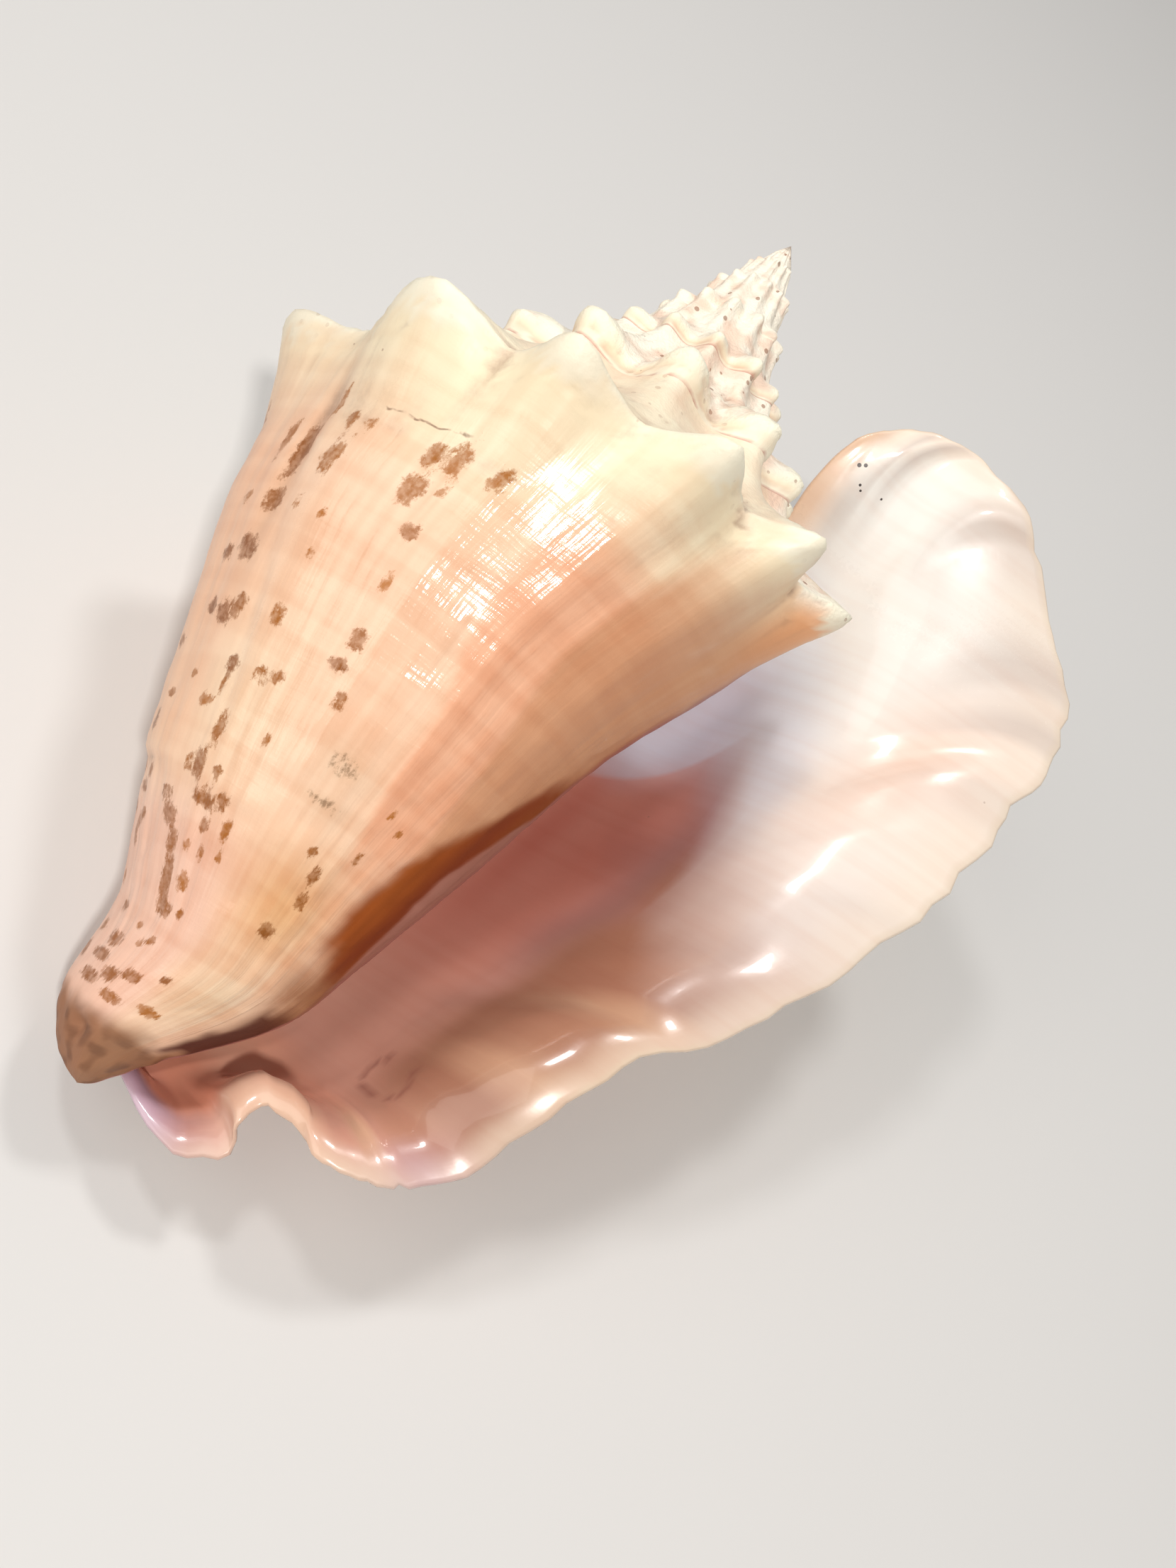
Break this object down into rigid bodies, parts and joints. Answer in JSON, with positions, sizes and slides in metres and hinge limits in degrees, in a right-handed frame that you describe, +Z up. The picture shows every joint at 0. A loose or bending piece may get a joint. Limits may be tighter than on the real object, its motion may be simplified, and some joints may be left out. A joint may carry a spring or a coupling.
{
  "type": "conch shell",
  "caption": "Large knobbed sea snail shell with a pointed spire and a broad flared lip, lying on its back with the aperture up.",
  "frame": {"origin": "on the surface the shell lies on, under the middle of its box", "axes": "+Z up with the aperture upwards, +Y level towards the apex of the spire, +X towards the flared lip"},
  "size_m": [0.1762, 0.1984, 0.1274],
  "materials": {
    "shell": "glossy"
  },
  "bodies": {
    "root": {"shell": "shell"}
  },
  "joints": []
}
